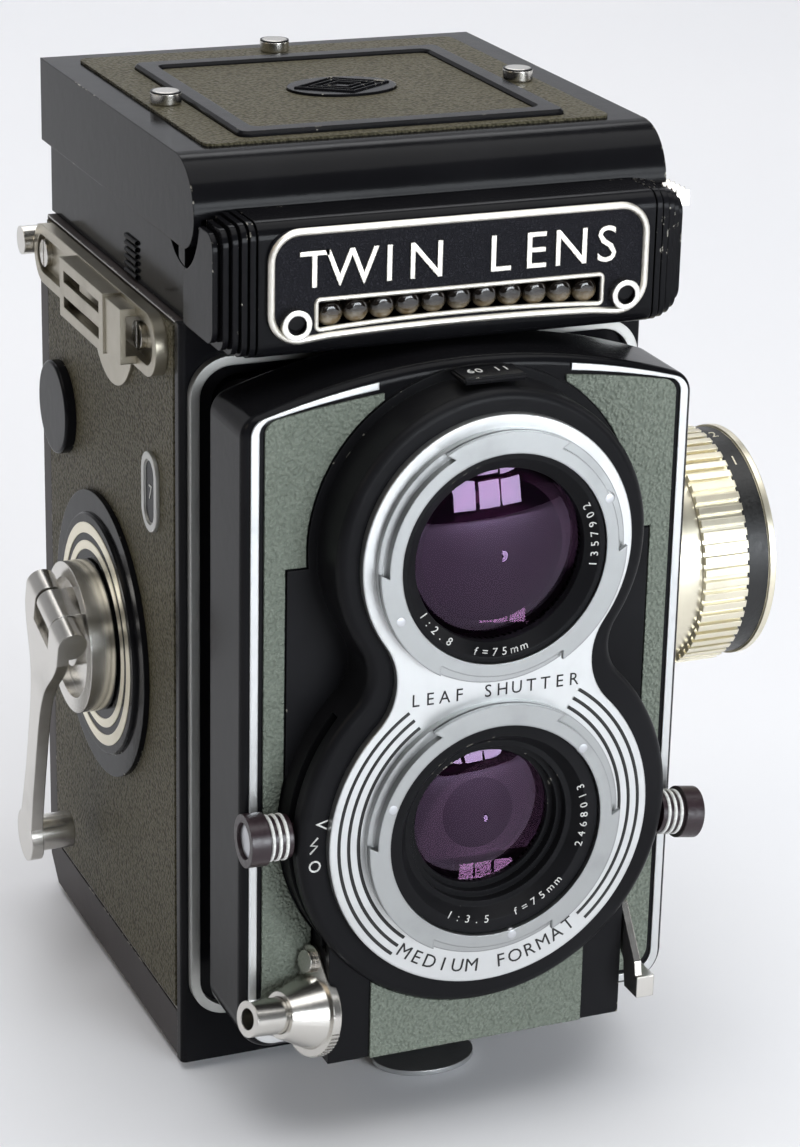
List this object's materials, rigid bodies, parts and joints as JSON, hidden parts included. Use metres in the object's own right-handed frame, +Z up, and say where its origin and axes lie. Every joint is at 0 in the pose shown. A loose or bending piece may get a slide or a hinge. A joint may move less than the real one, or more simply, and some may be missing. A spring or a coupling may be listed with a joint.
{
  "type": "twin lens reflex camera",
  "caption": "Twin lens roll film camera with folding viewing hood, focusing lens board, folding film crank, hinged back and tripod socket.",
  "frame": {"origin": "centre of the tripod socket's mouth", "axes": "+Z up, -Y the way the lenses look, +X the focusing knob side"},
  "size_m": [0.1053, 0.1063, 0.1474],
  "materials": {
    "black_enamel": "hard gloss black enamel, chipped along the edges",
    "black_crackle": "fine wrinkled black paint",
    "grey_paint": "smooth grey-brown paint, worn at the edges",
    "matt_black": "dead matt black inside",
    "body_leather": "fine grained olive brown covering",
    "board_leather": "pebbled grey green covering",
    "bright_nickel": "satin nickel plate",
    "satin_plate": "finely brushed bright plate",
    "knob_metal": "ribbed pale champagne metal",
    "brass": "bare turned brass",
    "steel": "plain machined steel",
    "optical_glass": "coated clear glass",
    "amber_glass": "moulded amber lens beads",
    "focus_screen": "finely ground glass",
    "mirror_silver": "front silvered",
    "black_plastic": "moulded black"
  },
  "bodies": {
    "camera_body": {"front_casting": "black_enamel", "body_shell": "matt_black", "side_covers": "grey_paint", "side_leathers": "body_leather", "front_trim": "bright_nickel", "tripod_socket": "steel", "door_pin": "bright_nickel", "light_cone": "matt_black", "mirror": "mirror_silver", "ground_glass": "focus_screen", "crank_dial": "black_enamel", "counter_window": "bright_nickel", "side_port_cap": "black_enamel", "strap_lugs": "grey_paint", "lug_screws": "bright_nickel", "strap_clips": "bright_nickel", "wear_plates": "satin_plate", "focus_dial": "bright_nickel", "nameplate_housing": "black_enamel", "nameplate": "black_crackle", "meter_window": "amber_glass", "meter_sockets": "bright_nickel", "hood_base": "black_enamel"},
    "lens_carrier": {"lens_board": "black_enamel", "shutter_housing": "black_crackle", "front_plate": "satin_plate", "lens_bayonets": "bright_nickel", "lens_barrels": "black_enamel", "lens_glasses": "optical_glass", "shutter_blades": "steel", "board_leathers": "board_leather", "board_trim": "satin_plate", "release_collar": "bright_nickel"},
    "speed_lever": {"speed_lever": "black_plastic"},
    "aperture_lever": {"aperture_lever": "black_plastic"},
    "release_button": {"release_button": "bright_nickel"},
    "sync_lever": {"sync_lever": "bright_nickel"},
    "focus_knob": {"focus_knob": "knob_metal"},
    "crank": {"crank_hub": "bright_nickel"},
    "crank_arm": {"crank_arm": "bright_nickel"},
    "crank_handle": {"crank_handle": "bright_nickel"},
    "take_up_drive": {"take_up_gear": "brass", "take_up_spool": "steel"},
    "counter_disc": {"counter_disc": "satin_plate"},
    "supply_spool": {"supply_spool": "steel"},
    "lower_roller": {"lower_roller": "steel"},
    "upper_roller": {"upper_roller": "steel"},
    "upper_spool_knob": {"upper_spool_knob": "bright_nickel"},
    "lower_spool_knob": {"lower_spool_knob": "bright_nickel"},
    "hood_lid": {"hood_lid": "black_enamel", "lid_leather": "body_leather"},
    "left_flap": {"left_flap": "matt_black"},
    "right_flap": {"right_flap": "matt_black"},
    "rear_flap": {"rear_flap": "matt_black"},
    "magnifier": {"magnifier_frame": "matt_black", "magnifier_lens": "optical_glass"},
    "back_door": {"back_door": "grey_paint", "door_leather": "body_leather", "pressure_plate": "matt_black"},
    "door_latch": {"door_latch": "bright_nickel"}
  },
  "joints": [
    {"name": "lens_focus", "type": "slide", "parent": "camera_body", "child": "lens_carrier", "axis": [0, -1, 0], "range_m": [-0.0055, 0.0009]},
    {"name": "focus_knob_turn", "type": "hinge", "parent": "camera_body", "child": "focus_knob", "pos_m": [0, -0.0245, 0.0724], "axis": [1, 0, 0], "range_deg": [-233, 39]},
    {"name": "crank_turn", "type": "hinge", "parent": "camera_body", "child": "crank", "pos_m": [-0.0367, 0.0042, 0.0577], "axis": [1, 0, 0], "range_deg": [0, 206]},
    {"name": "crank_fold", "type": "hinge", "parent": "crank", "child": "crank_arm", "pos_m": [-0.0454, 0.0012, 0.0631], "axis": [0, 0.9613, 0.2756], "range_deg": [0, 180]},
    {"name": "handle_turn", "type": "hinge", "parent": "crank_arm", "child": "crank_handle", "pos_m": [-0.0454, 0.0136, 0.01984], "axis": [1, 0, 0], "continuous": true},
    {"name": "take_up_turn", "type": "hinge", "parent": "camera_body", "child": "take_up_drive", "pos_m": [0, 0.02, 0.0927], "axis": [1, 0, 0], "range_deg": [-501, 1]},
    {"name": "counter_turn", "type": "hinge", "parent": "camera_body", "child": "counter_disc", "pos_m": [0, -0.019, 0.098], "axis": [1, 0, 0], "range_deg": [-1, 31]},
    {"name": "supply_turn", "type": "hinge", "parent": "camera_body", "child": "supply_spool", "pos_m": [0, 0.0134, 0.015], "axis": [1, 0, 0], "continuous": true},
    {"name": "lower_roller_turn", "type": "hinge", "parent": "camera_body", "child": "lower_roller", "pos_m": [0, 0.0295, 0.0175], "axis": [1, 0, 0], "continuous": true},
    {"name": "upper_roller_turn", "type": "hinge", "parent": "camera_body", "child": "upper_roller", "pos_m": [0, 0.0295, 0.0803], "axis": [1, 0, 0], "continuous": true},
    {"name": "upper_spool_pull", "type": "slide", "parent": "camera_body", "child": "upper_spool_knob", "axis": [1, 0, 0], "range_m": [0, 0.006], "stiffness_N_per_m": 60, "springref_m": -0.01},
    {"name": "lower_spool_pull", "type": "slide", "parent": "camera_body", "child": "lower_spool_knob", "axis": [1, 0, 0], "range_m": [0, 0.006], "stiffness_N_per_m": 60, "springref_m": -0.01},
    {"name": "speed_turn", "type": "hinge", "parent": "lens_carrier", "child": "speed_lever", "pos_m": [0, -0.06, 0.0489], "axis": [0, -1, 0], "range_deg": [-25, 25]},
    {"name": "aperture_turn", "type": "hinge", "parent": "lens_carrier", "child": "aperture_lever", "pos_m": [0, -0.06, 0.0489], "axis": [0, -1, 0], "range_deg": [-16, 34]},
    {"name": "release_press", "type": "slide", "parent": "lens_carrier", "child": "release_button", "axis": [0.9552, 0.235, -0.18], "range_m": [0, 0.0028], "stiffness_N_per_m": 250, "springref_m": -0.002},
    {"name": "sync_turn", "type": "hinge", "parent": "lens_carrier", "child": "sync_lever", "pos_m": [0.024, -0.0594, 0.029], "axis": [1, 0, 0], "range_deg": [-10, 20]},
    {"name": "hood_open", "type": "hinge", "parent": "camera_body", "child": "hood_lid", "pos_m": [0, -0.0316, 0.1357], "axis": [1, 0, 0], "range_deg": [0, 90]},
    {"name": "left_flap_rise", "type": "hinge", "parent": "camera_body", "child": "left_flap", "pos_m": [-0.0326, 0, 0.1322], "axis": [0, -1, 0], "range_deg": [0, 90]},
    {"name": "right_flap_rise", "type": "hinge", "parent": "camera_body", "child": "right_flap", "pos_m": [0.0326, 0, 0.1322], "axis": [0, 1, 0], "range_deg": [0, 90]},
    {"name": "rear_flap_rise", "type": "hinge", "parent": "camera_body", "child": "rear_flap", "pos_m": [0, 0.0325, 0.1336], "axis": [-1, 0, 0], "range_deg": [0, 90]},
    {"name": "magnifier_swing", "type": "hinge", "parent": "hood_lid", "child": "magnifier", "pos_m": [0, 0.0014, 0.1411], "axis": [1, 0, 0], "range_deg": [-90, 0]},
    {"name": "door_open", "type": "hinge", "parent": "camera_body", "child": "back_door", "pos_m": [0, 0.036, 0.1155], "axis": [1, 0, 0], "range_deg": [0, 110]},
    {"name": "latch_turn", "type": "hinge", "parent": "back_door", "child": "door_latch", "pos_m": [0, -0.02, -0.00055], "axis": [1, 0, 0], "range_deg": [0, 70]}
  ],
  "couplings": [
    {"joint": "focus_knob_turn", "follows": "lens_focus", "rad_per_m": 736.3},
    {"joint": "take_up_turn", "follows": "crank_turn", "ratio": -2.4286},
    {"joint": "counter_turn", "follows": "crank_turn", "ratio": 0.14563},
    {"joint": "left_flap_rise", "follows": "hood_open", "ratio": 1},
    {"joint": "right_flap_rise", "follows": "hood_open", "ratio": 1},
    {"joint": "rear_flap_rise", "follows": "hood_open", "ratio": 1},
    {"joint": "magnifier_swing", "follows": "hood_open", "ratio": -1}
  ]
}
